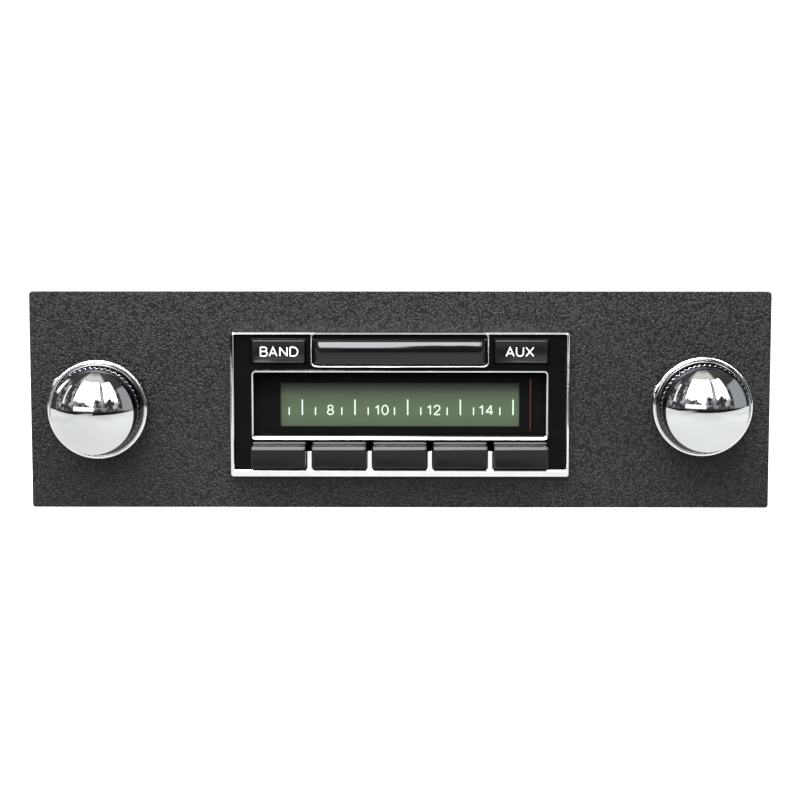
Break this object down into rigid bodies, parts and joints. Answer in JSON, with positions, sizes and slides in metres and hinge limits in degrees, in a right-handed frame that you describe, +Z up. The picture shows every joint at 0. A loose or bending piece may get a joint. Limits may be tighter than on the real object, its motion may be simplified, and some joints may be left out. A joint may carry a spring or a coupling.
{
  "type": "car radio",
  "caption": "Dash-panel car radio with a dial and needle, push keys, knobs with rear rings, and a chassis with sockets, fins and a rear strap.",
  "frame": {"origin": "middle of the dash panel's bottom edge, on the surface the radio stands on, half way through the panel's thickness", "axes": "+X along the panel to the right as seen from the front, +Y from the face back into the dash, +Z up"},
  "size_m": [0.235, 0.1917, 0.069],
  "materials": {
    "wrinkle_paint": "dark grey wrinkle paint",
    "chrome_plate": "bright plating",
    "gloss_black_plastic": "gloss black",
    "matte_key_plastic": "fine matte dark grey",
    "clear_lens": "clear polished",
    "matte_mask_card": "matte black",
    "dial_green": "dark green dial behind the lens",
    "white_diffuser": "translucent white",
    "needle_red": "red paint",
    "circuit_board_green": "green solder mask",
    "zinc_plated_steel": "zinc plated sheet",
    "polished_steel": "polished",
    "nickel_plated_brass": "nickel plated",
    "aluminium": "turned and polished",
    "black_plastic": "moulded",
    "white_acetal": "natural acetal",
    "braided_nylon": "braided cord",
    "epoxy_package": "moulded epoxy"
  },
  "bodies": {
    "radio": {"dash_panel": "wrinkle_paint", "chrome_bezel": "chrome_plate", "face_moulding": "gloss_black_plastic", "window_frame": "chrome_plate", "badge_frame": "chrome_plate", "trim_bar": "gloss_black_plastic", "display_lens": "clear_lens", "dial_mask": "matte_mask_card", "dial_plate": "dial_green", "backlight_diffuser": "white_diffuser", "front_circuit_board": "circuit_board_green", "nose_housing": "black_plastic", "pointer_rail": "polished_steel", "dial_cord": "braided_nylon", "left_bushing": "nickel_plated_brass", "left_shaft_nut": "nickel_plated_brass", "left_shaft_bracket": "zinc_plated_steel", "tone_pot": "zinc_plated_steel", "volume_pot": "zinc_plated_steel", "right_bushing": "nickel_plated_brass", "right_shaft_nut": "nickel_plated_brass", "right_shaft_bracket": "zinc_plated_steel", "fader_pot": "zinc_plated_steel", "tuning_encoder": "zinc_plated_steel", "chassis_front": "zinc_plated_steel", "chassis_left": "zinc_plated_steel", "chassis_right": "zinc_plated_steel", "chassis_rear": "zinc_plated_steel", "top_cover": "zinc_plated_steel", "bottom_cover": "zinc_plated_steel", "antenna_socket": "nickel_plated_brass", "wiring_socket": "black_plastic", "aux_socket": "black_plastic", "heat_sink": "aluminium", "main_circuit_board": "circuit_board_green", "tuner_can": "zinc_plated_steel", "amplifier_chip": "epoxy_package", "rear_strap": "zinc_plated_steel", "rear_bolt": "polished_steel"},
    "volume_control": {"volume_knob": "aluminium", "volume_shaft": "polished_steel"},
    "tone_control": {"tone_ring": "chrome_plate", "tone_sleeve": "nickel_plated_brass"},
    "tuning_control": {"tuning_knob": "aluminium", "tuning_shaft": "polished_steel", "cord_drum": "white_acetal"},
    "fader_control": {"fader_ring": "chrome_plate", "fader_sleeve": "nickel_plated_brass"},
    "pointer": {"pointer_needle": "needle_red", "pointer_carriage": "white_acetal"},
    "left_idler": {"left_idler_pulley": "white_acetal"},
    "right_idler": {"right_idler_pulley": "white_acetal"},
    "preset_1": {"preset_button_1": "matte_key_plastic"},
    "preset_2": {"preset_button_2": "matte_key_plastic"},
    "preset_3": {"preset_button_3": "matte_key_plastic"},
    "preset_4": {"preset_button_4": "matte_key_plastic"},
    "preset_5": {"preset_button_5": "matte_key_plastic"},
    "band_key": {"band_button": "matte_key_plastic"},
    "aux_key": {"aux_button": "matte_key_plastic"}
  },
  "joints": [
    {"name": "volume_turn", "type": "hinge", "parent": "radio", "child": "volume_control", "pos_m": [-0.0955, 0, 0.0322], "axis": [0, 1, 0], "range_deg": [0, 300]},
    {"name": "tone_turn", "type": "hinge", "parent": "radio", "child": "tone_control", "pos_m": [-0.0955, 0, 0.0322], "axis": [0, 1, 0], "range_deg": [-80, 200]},
    {"name": "tuning_turn", "type": "hinge", "parent": "radio", "child": "tuning_control", "pos_m": [0.0955, 0, 0.0332], "axis": [0, 1, 0], "range_deg": [-1244, 0]},
    {"name": "fader_turn", "type": "hinge", "parent": "radio", "child": "fader_control", "pos_m": [0.0955, 0, 0.0332], "axis": [0, 1, 0], "range_deg": [-80, 200]},
    {"name": "pointer_slide", "type": "slide", "parent": "radio", "child": "pointer", "axis": [1, 0, 0], "range_m": [-0.0765, 0]},
    {"name": "left_idler_turn", "type": "hinge", "parent": "radio", "child": "left_idler", "pos_m": [-0.0447, 0, 0.0413], "axis": [0, 1, 0], "range_deg": [-1120, 0]},
    {"name": "right_idler_turn", "type": "hinge", "parent": "radio", "child": "right_idler", "pos_m": [0.058, 0, 0.0413], "axis": [0, 1, 0], "range_deg": [-1120, 0]},
    {"name": "preset_1_press", "type": "slide", "parent": "radio", "child": "preset_1", "axis": [0, 1, 0], "range_m": [0, 0.002], "stiffness_N_per_m": 300, "springref_m": -0.001},
    {"name": "preset_2_press", "type": "slide", "parent": "radio", "child": "preset_2", "axis": [0, 1, 0], "range_m": [0, 0.002], "stiffness_N_per_m": 300, "springref_m": -0.001},
    {"name": "preset_3_press", "type": "slide", "parent": "radio", "child": "preset_3", "axis": [0, 1, 0], "range_m": [0, 0.002], "stiffness_N_per_m": 300, "springref_m": -0.001},
    {"name": "preset_4_press", "type": "slide", "parent": "radio", "child": "preset_4", "axis": [0, 1, 0], "range_m": [0, 0.002], "stiffness_N_per_m": 300, "springref_m": -0.001},
    {"name": "preset_5_press", "type": "slide", "parent": "radio", "child": "preset_5", "axis": [0, 1, 0], "range_m": [0, 0.002], "stiffness_N_per_m": 300, "springref_m": -0.001},
    {"name": "band_press", "type": "slide", "parent": "radio", "child": "band_key", "axis": [0, 1, 0], "range_m": [0, 0.0015], "stiffness_N_per_m": 300, "springref_m": -0.001},
    {"name": "aux_press", "type": "slide", "parent": "radio", "child": "aux_key", "axis": [0, 1, 0], "range_m": [0, 0.0015], "stiffness_N_per_m": 300, "springref_m": -0.001}
  ],
  "couplings": [
    {"joint": "pointer_slide", "follows": "tuning_turn", "m_per_rad": 0.0035},
    {"joint": "left_idler_turn", "follows": "tuning_turn", "ratio": 0.89744},
    {"joint": "right_idler_turn", "follows": "tuning_turn", "ratio": 0.89744}
  ]
}
